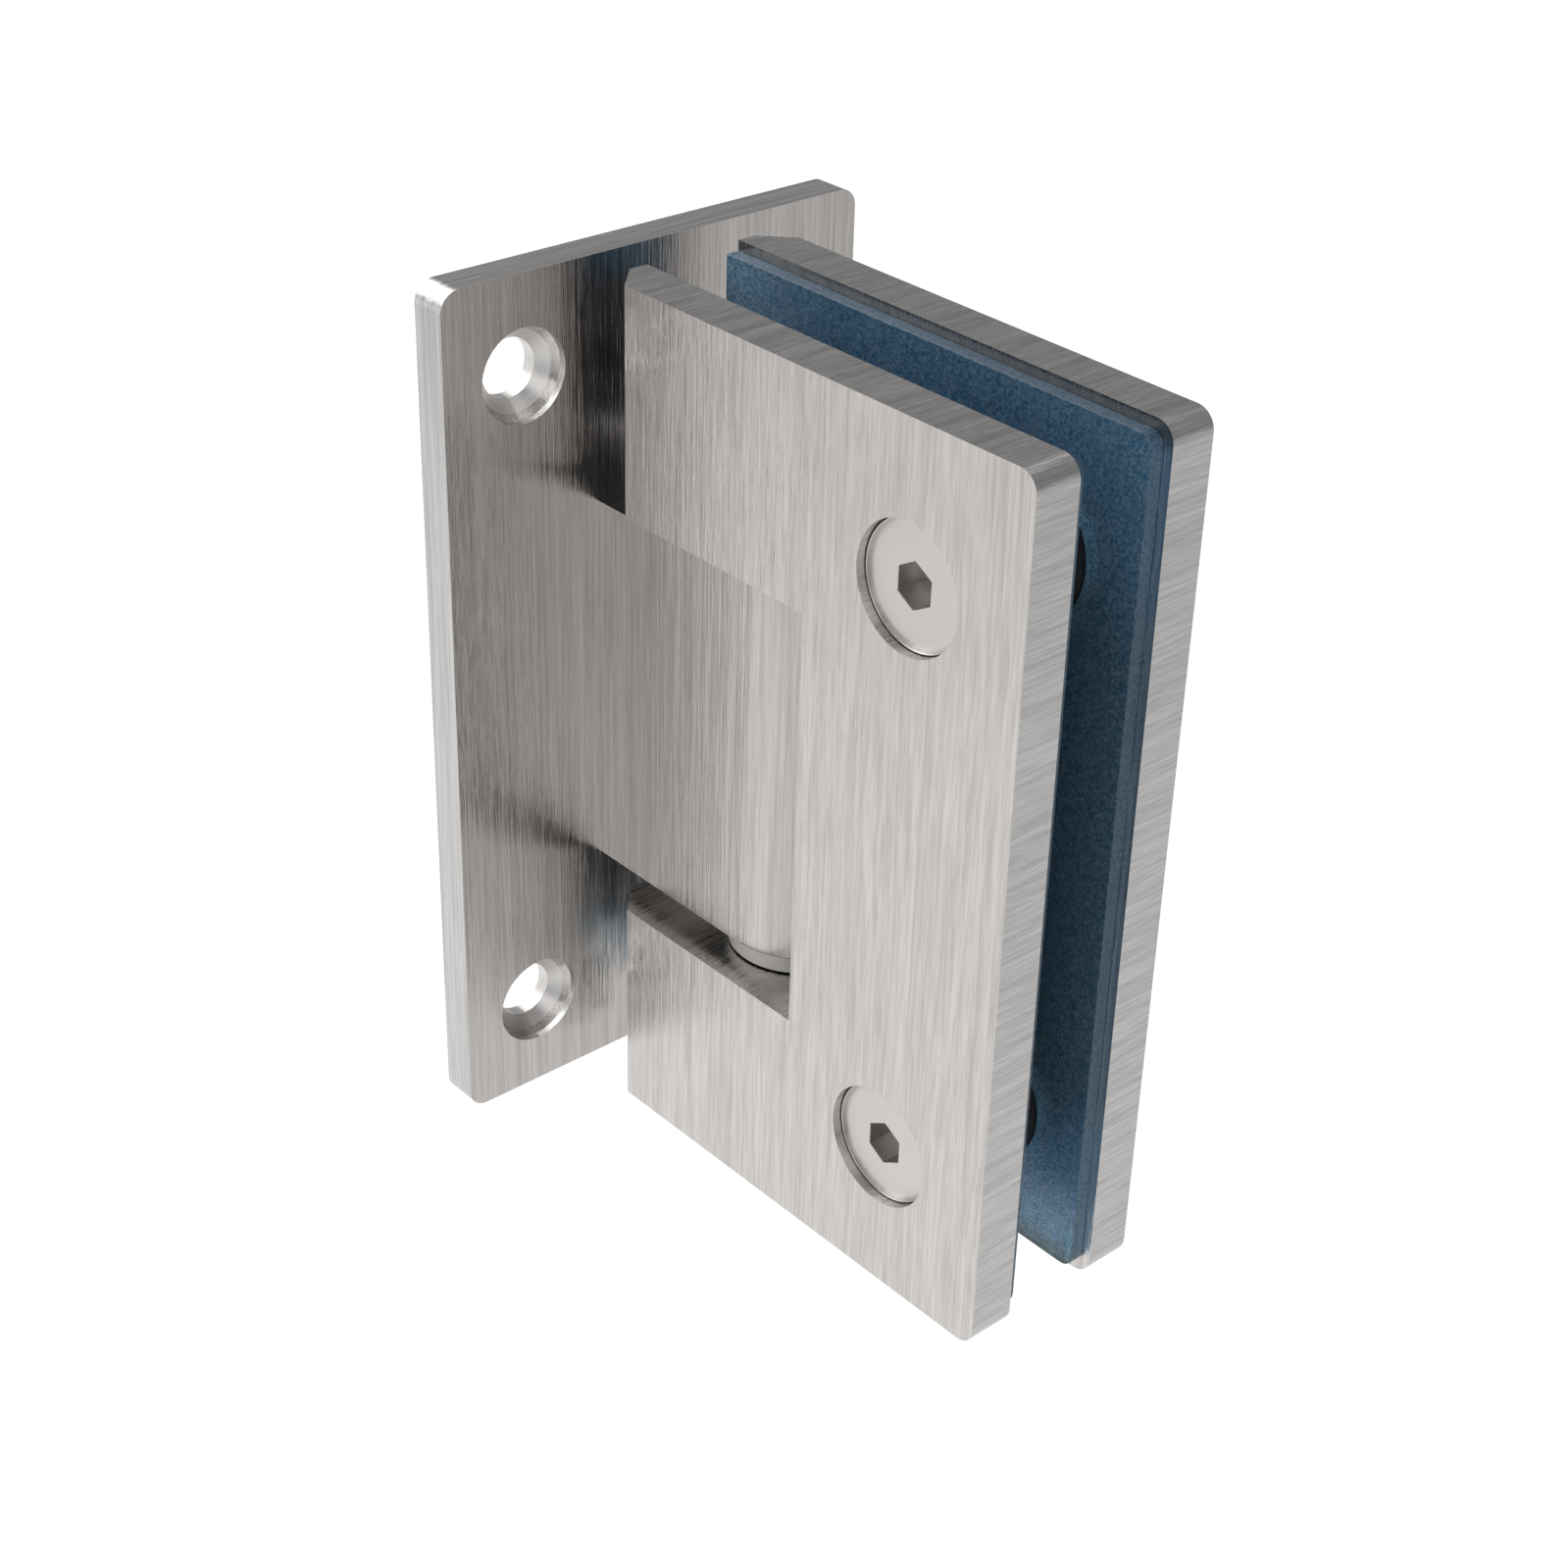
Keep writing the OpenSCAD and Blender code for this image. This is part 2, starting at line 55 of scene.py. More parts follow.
def makeCamera(view):
    # the camera's own axes: right is level, up is square to it, both turned a little by the roll
    azimuth, elevation, roll = (math.radians(view[k]) for k in ("azimuth", "elevation", "roll"))
    ahead = Vector((-math.sin(azimuth) * math.cos(elevation),
                    math.cos(azimuth) * math.cos(elevation), -math.sin(elevation)))
    level = Vector((math.cos(azimuth), math.sin(azimuth), 0.0))
    above = level.cross(ahead)
    right = level * math.cos(roll) + above * math.sin(roll)
    up = above * math.cos(roll) - level * math.sin(roll)
    data = bpy.data.cameras.new("photoCamera")
    data.lens, data.sensor_width = view["lens"], view["sensor"]
    data.shift_x, data.shift_y = view["shift"]
    data.clip_start, data.clip_end = view["clip"]
    camera = bpy.data.objects.new("photoCamera", data)
    turn = Matrix((right, up, -ahead)).transposed()
    camera.matrix_world = Matrix.Translation(view["place"]) @ turn.to_4x4()
    bpy.context.scene.collection.objects.link(camera)
    bpy.context.scene.camera = camera


makeCamera(cameraView)
print("camera placed")


def addNode(tree, kind, **values):
    node = tree.nodes.new(kind)
    for name, value in values.items():
        setattr(node, name, value)
    return node


def feed(tree, socket, value):
    # a socket is joined to another one, or set to a plain value
    if isinstance(value, bpy.types.NodeSocket):
        tree.links.new(value, socket)
    else:
        socket.default_value = value


def mathOf(tree, operation, first, second=None, third=None):
    node = addNode(tree, "ShaderNodeMath", operation=operation)
    for socket, value in zip(node.inputs, (first, second, third)):
        if value is not None:
            feed(tree, socket, value)
    return node.outputs[0]


def sizeOf(tree, value):
    return mathOf(tree, "ABSOLUTE", value)


def both(tree, first, second):
    # where two masks overlap
    return mathOf(tree, "MULTIPLY", first, second)


def vectorOf(tree, operation, first, second=None):
    node = addNode(tree, "ShaderNodeVectorMath", operation=operation)
    for socket, value in zip(node.inputs, (first, second)):
        if value is not None:
            feed(tree, socket, value)
    return node.outputs["Value"] if operation == "LENGTH" else node.outputs[0]


def apart(tree, vector):
    # the outputs X, Y and Z of a vector
    node = addNode(tree, "ShaderNodeSeparateXYZ")
    feed(tree, node.inputs[0], vector)
    return node.outputs


mixSockets = {"FLOAT": (2, 3, 0), "VECTOR": (4, 5, 1), "RGBA": (6, 7, 2)}  # two values in, one out


def mixOf(tree, factor, first, second, kind="RGBA", blend="MIX"):
    node = addNode(tree, "ShaderNodeMix", data_type=kind, blend_type=blend)
    low, high, result = mixSockets[kind]
    feed(tree, node.inputs[0], factor)
    feed(tree, node.inputs[low], first)
    feed(tree, node.inputs[high], second)
    return node.outputs[result]


def tinted(tree, mask, colour, tint):
    # the colour times the tint, as far as the mask goes
    return mixOf(tree, mask, colour, mixOf(tree, 1.0, colour, tint, blend="MULTIPLY"))


def rangeOf(tree, value, low, high, toLow=0.0, toHigh=1.0, smooth=False):
    # low may be above high: the mask then runs the other way
    node = addNode(tree, "ShaderNodeMapRange", clamp=True)
    node.interpolation_type = "SMOOTHSTEP" if smooth else "LINEAR"
    for socket, v in zip(node.inputs, (value, low, high, toLow, toHigh)):
        feed(tree, socket, v)
    return node.outputs[0]


def noiseOf(tree, vector, scale, detail, roughness, distortion=0.0):
    node = addNode(tree, "ShaderNodeTexNoise")
    for name, value in (("Vector", vector), ("Scale", scale), ("Detail", detail),
                        ("Roughness", roughness), ("Distortion", distortion)):
        feed(tree, node.inputs[name], value)
    return node.outputs["Fac"]


def newGroup(name, inputs, outputs):
    # inputs: name -> (socket kind, first value); outputs: name -> socket kind
    group = bpy.data.node_groups.new(name, "ShaderNodeTree")
    for label, (kind, value) in inputs.items():
        socket = group.interface.new_socket(label, in_out="INPUT", socket_type=kind)
        if value is not None:
            socket.default_value = value
    for label, kind in outputs.items():
        group.interface.new_socket(label, in_out="OUTPUT", socket_type=kind)
    return group, addNode(group, "NodeGroupInput").outputs, addNode(group, "NodeGroupOutput").inputs


def useGroup(tree, group, **values):
    node = addNode(tree, "ShaderNodeGroup", node_tree=group)
    for name, value in values.items():
        feed(tree, node.inputs[name], value)
    return node.outputs


def newMaterial(name):
    material = bpy.data.materials.new(name)
    material.use_nodes = True
    tree = material.node_tree
    return material, tree, tree.nodes["Principled BSDF"]


def addBump(tree, shader, look, height):
    bump = addNode(tree, "ShaderNodeBump")
    bump.inputs["Strength"].default_value = look["bump"]
    bump.inputs["Distance"].default_value = look["bumpDepth"]
    feed(tree, bump.inputs["Height"], height)
    feed(tree, shader.inputs["Normal"], bump.outputs[0])


floatSocket, vectorSocket = "NodeSocketFloat", "NodeSocketVector"

brushingLook = {  # a layer of noise is its scale, detail and roughness
    "coarse": (0.42, 3.0, 0.6), "middle": (1.0, 3.0, 0.62), "fine": (2.6, 2.0, 0.6), "fineWaver": 0.1,
    "coarseTone": 0.30, "middleTone": 0.45, "fineTone": 0.25, "middleHeight": 0.6, "fineHeight": 0.4,
    "cloud": (90.0, 2.0, 0.5), "toneRange": (0.40, 0.60), "hazeRange": (0.3, 0.7),
}


# brushed streaks: three layers of noise, each squeezed across the streaks and drawn out along them;
# Turned fades from streaks along Z to streaks along Y
def makeBrushing(look):
    group, given, out = newGroup(
        "brushing",
        {"Place": (vectorSocket, None), "Turned": (floatSocket, 0.0),
         "Across": (floatSocket, 2400.0), "Along": (floatSocket, 110.0), "Waver": (floatSocket, 0.4)},
        {"Tone": floatSocket, "Height": floatSocket, "Haze": floatSocket})
    tones, heights = [], []
    for longSide in ("Z", "Y"):
        stretch = addNode(group, "ShaderNodeCombineXYZ")
        for socket, letter in zip(stretch.inputs, "XYZ"):
            feed(group, socket, given["Along" if letter == longSide else "Across"])
        place = vectorOf(group, "MULTIPLY", given["Place"], stretch.outputs[0])
        coarse = noiseOf(group, place, *look["coarse"], given["Waver"])
        middle = noiseOf(group, place, *look["middle"], given["Waver"])
        fine = noiseOf(group, place, *look["fine"], look["fineWaver"])
        tone = mathOf(group, "MULTIPLY", middle, look["middleTone"])
        tone = mathOf(group, "MULTIPLY_ADD", coarse, look["coarseTone"], tone)
        tones.append(mathOf(group, "MULTIPLY_ADD", fine, look["fineTone"], tone))
        height = mathOf(group, "MULTIPLY", fine, look["fineHeight"])
        heights.append(mathOf(group, "MULTIPLY_ADD", middle, look["middleHeight"], height))
    cloud = noiseOf(group, given["Place"], *look["cloud"])
    tone = mixOf(group, given["Turned"], *tones, kind="FLOAT")
    feed(group, out["Tone"], rangeOf(group, tone, *look["toneRange"]))
    feed(group, out["Height"], mixOf(group, given["Turned"], *heights, kind="FLOAT"))
    feed(group, out["Haze"], rangeOf(group, cloud, *look["hazeRange"]))
    return group


turningLook = {"marks": (1.0, 3.0, 0.6), "waver": 0.3, "toneRange": (0.36, 0.64)}


# marks of a turning tool round an axis, the Z of Place: noise over radius and depth only, with the
# spoke's cosine and sine added so that the marks waver a little on their way round
def makeTurning(look):
    group, given, out = newGroup(
        "turning", {"Place": (vectorSocket, None), "Across": (floatSocket, 3000.0)},
        {"Tone": floatSocket, "Height": floatSocket})
    place = apart(group, given["Place"])
    radius = vectorOf(group, "LENGTH", vectorOf(group, "MULTIPLY", given["Place"], (1.0, 1.0, 0.0)))
    ring = addNode(group, "ShaderNodeCombineXYZ")
    for socket, distance, side in zip(ring.inputs, (radius, place["Z"]), ("X", "Y")):
        spoke = mathOf(group, "DIVIDE", place[side], radius)
        feed(group, socket, mathOf(group, "MULTIPLY_ADD", distance, given["Across"], spoke))
    marks = noiseOf(group, ring.outputs[0], *look["marks"], look["waver"])
    feed(group, out["Tone"], rangeOf(group, marks, *look["toneRange"]))
    feed(group, out["Height"], marks)
    return group


satinGrainLook = {"grain": (2.0, 0.6), "drift": (3.0, 0.5), "toneRange": (0.35, 0.65)}  # detail, roughness


# fine even grain with a slow drift in tone, as on a blasted or moulded surface
def makeSatin(look):
    group, given, out = newGroup(
        "satinGrain",
        {"Place": (vectorSocket, None), "Grain": (floatSocket, 6000.0), "Drift": (floatSocket, 120.0),
         "Speckle": (floatSocket, 0.5)},
        {"Tone": floatSocket, "Height": floatSocket})
    grain = noiseOf(group, given["Place"], given["Grain"], *look["grain"])
    drift = noiseOf(group, given["Place"], given["Drift"], *look["drift"])
    mixed = mixOf(group, given["Speckle"], drift, grain, kind="FLOAT")
    feed(group, out["Tone"], rangeOf(group, mixed, *look["toneRange"]))
    feed(group, out["Height"], grain)
    return group


brushing = makeBrushing(brushingLook)
turning = makeTurning(turningLook)
satinGrain = makeSatin(satinGrainLook)
print("shared effects built")


# the way from the nearest hole's axis, for holes that lie at plus and minus the middle given; its
# third part is left for the depth
def fromHoles(tree, place, sides, middle):
    away = addNode(tree, "ShaderNodeCombineXYZ")
    for socket, side, centre in zip(away.inputs, sides, middle):
        feed(tree, socket, mathOf(tree, "SUBTRACT", sizeOf(tree, place[side]), centre))
    return away


# how far a face's normal lies along an axis, from 0 to 1, for the face to be treated as one of these
faceLimits = {"main": 0.9, "rim": (0.5, 0.4), "level": (0.8, 0.95), "ceiling": -0.8}


# 1 on a plate's inner face where the gasket covers it or ends beside it: nearer than innerDepth to the
# middle plane, above innerFrom, and outside the gasket's cut-out
def innerFace(tree, look, place, main, height):
    deep = mathOf(tree, "LESS_THAN", sizeOf(tree, place[look["mainFace"]]), look["innerDepth"])
    inner = both(tree, deep, mathOf(tree, "GREATER_THAN", main, faceLimits["main"]))
    inner = both(tree, inner, mathOf(tree, "GREATER_THAN", place["Z"], look["innerFrom"]))
    cutX, cutZ = look["cutOut"]
    beyond = mathOf(tree, "GREATER_THAN", place["X"], cutX)
    beyond = mathOf(tree, "MAXIMUM", beyond, mathOf(tree, "GREATER_THAN", height, cutZ))
    return both(tree, inner, beyond)


# steel brushed along Z, and along Y on the faces that turnBy picks by their normal. A slight tint goes over
# the narrow edges; painted light and shade go over the level faces, painted blue light from the gasket over
# the inner faces, painted shade over the band at their top and over the ceilings of the notches. In a hole,
# nearer than reach to the point where its axis meets the plane through the origin, the brushing gives way to
# turned marks
def brushedSteel(name, look):
    material, tree, shader = newMaterial(name)
    coords = addNode(tree, "ShaderNodeTexCoord").outputs
    facing, place = apart(tree, coords["Normal"]), apart(tree, coords["Object"])
    main, height = sizeOf(tree, facing[look["mainFace"]]), sizeOf(tree, place["Z"])
    turned = rangeOf(tree, sizeOf(tree, facing[look["turnBy"]]), *look["turn"], smooth=True)
    grain = useGroup(tree, brushing, Place=coords["Object"], Turned=turned,
                     Across=look["across"], Along=look["along"], Waver=look["waver"])
    rim = rangeOf(tree, main, *faceLimits["rim"], smooth=True)
    level = rangeOf(tree, sizeOf(tree, facing["Z"]), *faceLimits["level"], smooth=True)
    high = rangeOf(tree, place["Z"], *look["band"], smooth=True)
    inner = innerFace(tree, look, place, main, height)
    low = mathOf(tree, "LESS_THAN", height, look["notchReach"])
    under = both(tree, low, mathOf(tree, "LESS_THAN", facing["Z"], faceLimits["ceiling"]))
    colour = mixOf(tree, grain["Tone"], look["dark"], look["light"])
    colour = tinted(tree, rim, colour, look["edgeTint"])
    # painted light and shade: the level faces are made lighter or darker for the way light falls on them
    colour = tinted(tree, level, colour, look["levelShading"])
    # painted blue light on the inner faces, as from light through the gasket, and painted shade in the band
    # at their top
    colour = tinted(tree, inner, colour, mixOf(tree, high, look["innerBlueLight"], look["bandShade"]))
    # painted shade on the ceilings of the notches
    colour = tinted(tree, under, colour, look["ceilingShade"])

    hole = look["hole"]
    fromAxis = fromHoles(tree, place, hole["plane"], hole["middle"])
    feed(tree, fromAxis.inputs[2], place[look["mainFace"]])
    distance = vectorOf(tree, "LENGTH", fromAxis.outputs[0])
    near = mathOf(tree, "LESS_THAN", distance, hole["reach"])
    inHole = both(tree, near, mathOf(tree, "LESS_THAN", main, faceLimits["main"]))
    marks = useGroup(tree, turning, Place=fromAxis.outputs[0], Across=hole["across"])
    colour = mixOf(tree, inHole, colour, mixOf(tree, marks["Tone"], hole["dark"], hole["light"]))
    feed(tree, shader.inputs["Base Color"], colour)
    shader.inputs["Metallic"].default_value = 1.0

    spread = mixOf(tree, both(tree, level, low), look["roughSpread"], look["notchSpread"], kind="FLOAT")
    rough = mathOf(tree, "MULTIPLY_ADD", grain["Tone"], spread, look["rough"])
    rough = mathOf(tree, "MULTIPLY_ADD", grain["Haze"], look["haze"], rough)
    turnedRough = mathOf(tree, "MULTIPLY_ADD", marks["Tone"], look["roughSpread"], hole["rough"])
    feed(tree, shader.inputs["Roughness"], mixOf(tree, inHole, rough, turnedRough, kind="FLOAT"))

    # the sheen is drawn out across the grooves, which run along Z, along Y, or round the hole
    shader.inputs["Anisotropic"].default_value = look["anisotropy"]
    shader.inputs["Anisotropic Rotation"].default_value = look["quarterTurn"]
    groove = mixOf(tree, turned, (0.0, 0.0, 1.0), (0.0, 1.0, 0.0), kind="VECTOR")
    ringWay = vectorOf(tree, "CROSS_PRODUCT", coords["Normal"], hole["axis"])
    groove = mixOf(tree, inHole, groove, ringWay, kind="VECTOR")
    toWorld = addNode(tree, "ShaderNodeVectorTransform", vector_type="VECTOR",
                      convert_from="OBJECT", convert_to="WORLD")
    feed(tree, toWorld.inputs[0], groove)
    feed(tree, shader.inputs["Tangent"], toWorld.outputs[0])

    streaks = mathOf(tree, "SUBTRACT", grain["Height"], 0.5)
    streaks = mathOf(tree, "MULTIPLY", streaks, mixOf(tree, level, 1.0, look["endBump"], kind="FLOAT"))
    rings = mathOf(tree, "MULTIPLY", marks["Height"], hole["bump"])
    addBump(tree, shader, look, mixOf(tree, inHole, streaks, rings, kind="FLOAT"))
    return material


wallSteelLook = {
    "mainFace": "X", "turnBy": "Z", "turn": (0.66, 0.80),
    "across": 2500.0, "along": 55.0, "waver": 0.15,
    "dark": (0.53, 0.508, 0.491, 1.0), "light": (0.73, 0.700, 0.676, 1.0),
    # the wall plate's level faces are painted lighter, as painted light
    "edgeTint": (0.99, 1.02, 1.04, 1.0), "levelShading": (1.13, 1.12, 1.11, 1.0), "endBump": 1.1,
    "innerDepth": 0.0, "innerFrom": -0.0422, "cutOut": (0.03845, 0.0377),  # depth 0.0: none
    # painted blue light on the inner faces and painted shade in their top band; off here, where the depth is
    # 0.0
    "innerBlueLight": (1.0, 1.0, 1.0, 1.0), "band": (0.0420, 0.0438), "bandShade": (0.60, 0.60, 0.60, 1.0),
    "notchReach": 0.03, "notchSpread": 0.08, "ceilingShade": (1.0, 1.0, 1.0, 1.0),
    "rough": 0.15, "roughSpread": 0.08, "haze": 0.03, "anisotropy": 0.2, "quarterTurn": 0.25,
    "bump": 0.6, "bumpDepth": 0.00014,
    "hole": {"axis": (1.0, 0.0, 0.0), "plane": ("Y", "Z"), "middle": (0.016, 0.035), "reach": 0.0049,
             "across": 3400.0, "rough": 0.33, "bump": 0.12,
             "dark": (0.74, 0.722, 0.704, 1.0), "light": (0.86, 0.84, 0.82, 1.0)},
}
clampSteelLook = dict(wallSteelLook, mainFace="Y", turnBy="Y", turn=(0.62, 0.5),
                      across=2300.0, along=95.0, waver=0.4,
                      # the clamp's level faces are painted a little darker, as painted shade
                      levelShading=(0.95, 0.94, 0.93, 1.0), notchSpread=0.24,
                      # the inner faces are painted blue, as light coming through the gasket
                      innerDepth=0.0056, innerBlueLight=(1.0, 1.25, 1.45, 1.0),
                      # the notch ceilings are painted dark, as shade
                      ceilingShade=(0.35, 0.35, 0.35, 1.0))
clampSteelLook["hole"] = dict(wallSteelLook["hole"], axis=(0.0, 1.0, 0.0), plane=("X", "Z"),
                              middle=(0.05, 0.0295), reach=0.0064)
# the knuckle's level faces are painted darker, as painted shade
knuckleSteelLook = dict(wallSteelLook, edgeTint=(1.0, 1.0, 1.0, 1.0), levelShading=(0.75, 0.75, 0.75, 1.0))
# painted shade: the pin blocks are darkened so that the gap between the plates, which the wall plate
# mirrors, stays dark
blockSteelLook = dict(clampSteelLook, innerDepth=0.0,
                      dark=(0.12, 0.125, 0.135, 1.0), light=(0.19, 0.198, 0.212, 1.0))

steelForWall = brushedSteel("brushedWallSteel", wallSteelLook)
steelForKnuckle = brushedSteel("brushedKnuckleSteel", knuckleSteelLook)
steelForClamp = brushedSteel("brushedClampSteel", clampSteelLook)
steelForBlocks = brushedSteel("shadeDarkBlockSteel", blockSteelLook)


# a dark and a light tone mixed by the satin grain; over a band of height, up or down, the colour falls to a
# small
# share of itself: a painted shadow, for the black line at a collar's foot
def satinMaterial(name, look):
    material, tree, shader = newMaterial(name)
    coords = addNode(tree, "ShaderNodeTexCoord").outputs
    grain = useGroup(tree, satinGrain, Place=coords["Object"], Grain=look["grain"], Drift=look["drift"])
    height = sizeOf(tree, apart(tree, coords["Object"])["Z"])
    # painted shadow: the colour falls towards black over a thin band of height
    footShadowBand = rangeOf(tree, height, *look["footShadowBand"], 1.0, look["footShadowLevel"])
    colour = mixOf(tree, grain["Tone"], look["dark"], look["light"])
    feed(tree, shader.inputs["Base Color"], vectorOf(tree, "MULTIPLY", colour, footShadowBand))
    shader.inputs["Metallic"].default_value = look["metal"]
    rough = mathOf(tree, "MULTIPLY_ADD", grain["Tone"], look["roughSpread"], look["rough"])
    feed(tree, shader.inputs["Roughness"], rough)
    addBump(tree, shader, look, grain["Height"])
    return material


satinSteelLook = {
    "grain": 7000.0, "drift": 150.0, "metal": 1.0,
    "dark": (0.66, 0.636, 0.612, 1.0), "light": (0.71, 0.686, 0.660, 1.0),
    "rough": 0.30, "roughSpread": 0.06, "bump": 0.15, "bumpDepth": 0.00001,
    "footShadowBand": (1.0, 1.1), "footShadowLevel": 1.0,  # a metre off, so no painted shadow
}
hardSteelLook = dict(satinSteelLook, rough=0.25,
                     dark=(0.34, 0.34, 0.35, 1.0), light=(0.44, 0.44, 0.45, 1.0))
springWireLook = dict(satinSteelLook, rough=0.22,
                      dark=(0.30, 0.30, 0.31, 1.0), light=(0.42, 0.42, 0.43, 1.0))
blackOxideLook = dict(satinSteelLook, rough=0.38,
                      dark=(0.018, 0.018, 0.019, 1.0), light=(0.035, 0.035, 0.037, 1.0))
# the bush's foot darkens to a painted shadow, the black line where its collar meets the notch floor
bushLook = dict(satinSteelLook, rough=0.8, footShadowBand=(0.02174, 0.02182), footShadowLevel=0.04,
                dark=(0.86, 0.84, 0.82, 1.0), light=(0.92, 0.90, 0.88, 1.0))
sleeveLook = dict(satinSteelLook, rough=0.5, metal=0.0,
                  dark=(0.010, 0.010, 0.012, 1.0), light=(0.018, 0.018, 0.02, 1.0))

satinSteel = satinMaterial("satinScrewSteel", satinSteelLook)
hardSteel = satinMaterial("groundHardSteel", hardSteelLook)
springWire = satinMaterial("drawnSpringWire", springWireLook)
blackOxide = satinMaterial("blackOxideSteel", blackOxideLook)
bushSteel = satinMaterial("turnedBushSteel", bushLook)
sleeveBlack = satinMaterial("mattBlackNylon", sleeveLook)


gasketLook = {
    "grain": 4100.0, "drift": 70.0, "speckle": 0.95,
    "dark": (0.055, 0.24, 0.42, 1.0), "light": (0.42, 0.66, 0.86, 1.0),
    # painted light and shade by the normal: darker softened edges, a tint on the end towards the glass,
    # painted shade on the end towards the wall, a darker top
    "round": (0.99, 0.9), "roundTint": (0.86, 0.88, 0.90, 1.0),
    "side": (0.85, 0.97), "sideTint": (0.98, 0.92, 0.90, 1.0),
    "backEnd": (-0.85, -0.97), "backEndTint": (0.25, 0.25, 0.25, 1.0),
    "top": (0.5, 0.8), "topTint": (0.8, 0.74, 0.72, 1.0), "topRough": 0.3,
    # painted light and shade by the place: lighter near the wall and round the holes, darker between them
    # and along the bottom edge, lighter over the foot
    "wallEnd": (0.018, 0.009), "wallEndTint": (1.75, 1.5, 1.36, 1.0),
    "holeMiddle": (0.05, 0.0295), "ring": (0.0098, 0.0072), "ringTint": (1.4, 1.25, 1.12, 1.0),
    "waist": (0.032, 0.022), "waistTint": (0.92, 0.84, 0.80, 1.0),
    "hem": (-0.0429, -0.0439), "hemTint": (0.5, 0.48, 0.46, 1.0),
    "foot": (-0.034, -0.0435), "footTint": (1.5, 1.36, 1.2, 1.0),
    # painted streaks over the foot, standing for the brushed steel seen through the liner
    "streakAcross": 1300.0, "streakAlong": 25.0, "streaks": (0.7, 1.3),
    "rough": 0.09, "roughSpread": 0.12, "seeThrough": 0.70, "ior": 1.45,
    "bump": 0.8, "bumpDepth": 0.00004,
}


# speckled blue, partly see-through; each zone has its own tint over the range that gasketLook gives, all of
# it painted light and shade, and upright painted streaks, standing for the steel seen through it, lie over
# the foot
def makeGasketMaterial(look):
    material, tree, shader = newMaterial("frostedBlueGasket")
    coords = addNode(tree, "ShaderNodeTexCoord").outputs
    facing, place = apart(tree, coords["Normal"]), apart(tree, coords["Object"])
    grain = useGroup(tree, satinGrain, Place=coords["Object"],
                     Grain=look["grain"], Drift=look["drift"], Speckle=look["speckle"])
    fromHole = fromHoles(tree, place, ("X", "Z"), look["holeMiddle"])
    paintedLightZones = {
        "round": sizeOf(tree, facing["Y"]), "side": facing["X"], "backEnd": facing["X"],
        "top": sizeOf(tree, facing["Z"]), "wallEnd": place["X"],
        "ring": vectorOf(tree, "LENGTH", fromHole.outputs[0]),
        "waist": sizeOf(tree, place["Z"]), "hem": place["Z"], "foot": place["Z"],
    }
    paintedLightMasks = {zone: rangeOf(tree, value, *look[zone], smooth=True) for zone, value in paintedLightZones.items()}
    colour = mixOf(tree, grain["Tone"], look["dark"], look["light"])
    # each zone's tint is painted light or shade
    for zone, mask in paintedLightMasks.items():
        colour = tinted(tree, mask, colour, look[zone + "Tint"])
    # painted streaks: the brushed steel behind, seen through the foot
    streak = useGroup(tree, brushing, Place=coords["Object"], Turned=0.0,
                      Across=look["streakAcross"], Along=look["streakAlong"])["Tone"]
    seenThroughStreaks = vectorOf(tree, "MULTIPLY", colour, rangeOf(tree, streak, 0.0, 1.0, *look["streaks"]))
    feed(tree, shader.inputs["Base Color"], mixOf(tree, paintedLightMasks["foot"], colour, seenThroughStreaks))
    rough = mathOf(tree, "MULTIPLY_ADD", grain["Tone"], look["roughSpread"], look["rough"])
    rough = mixOf(tree, paintedLightMasks["top"], rough, look["topRough"], kind="FLOAT")
    feed(tree, shader.inputs["Roughness"], rough)
    shader.inputs["Transmission Weight"].default_value = look["seeThrough"]
    shader.inputs["IOR"].default_value = look["ior"]
    addBump(tree, shader, look, grain["Height"])
    return material


gasketBlue = makeGasketMaterial(gasketLook)

finishes = {
    steelForWall: ("wall_plate",),
    steelForKnuckle: ("knuckle_block",),
    steelForClamp: ("front_clamp_plate", "rear_clamp_plate"),
    steelForBlocks: ("upper_pin_block", "lower_pin_block"),
    satinSteel: ("upper_clamp_screw", "lower_clamp_screw"),
    hardSteel: ("hinge_pin", "press_bar"),
    springWire: ("upper_spring", "lower_spring"),
    blackOxide: ("knuckle_screws", "upper_block_screws", "lower_block_screws",
                 "upper_pin_grub", "lower_pin_grub"),
    bushSteel: ("upper_bush", "lower_bush"),
    sleeveBlack: ("upper_sleeve", "lower_sleeve"),
    gasketBlue: ("front_gasket", "rear_gasket"),
}
for material, names in finishes.items():
    for name in names:
        nodes[name].material_slots[0].material = material
print("materials assigned")


# new pieces are measured in millimetres
mm = 0.001
meshFinish = {"merge": 1e-7, "sharpAngle": 38.0}  # metres, degrees


# a strip of quads: rows go round a closed loop, columns along the profile that it carries
def stripFaces(rows, columns, start=0):
    index = start + np.arange(rows * columns).reshape(rows, columns)
    ahead = np.roll(index, -1, axis=0)
    return np.stack([index[:, :-1], ahead[:, :-1], ahead[:, 1:], index[:, 1:]], axis=-1).reshape(-1, 4)


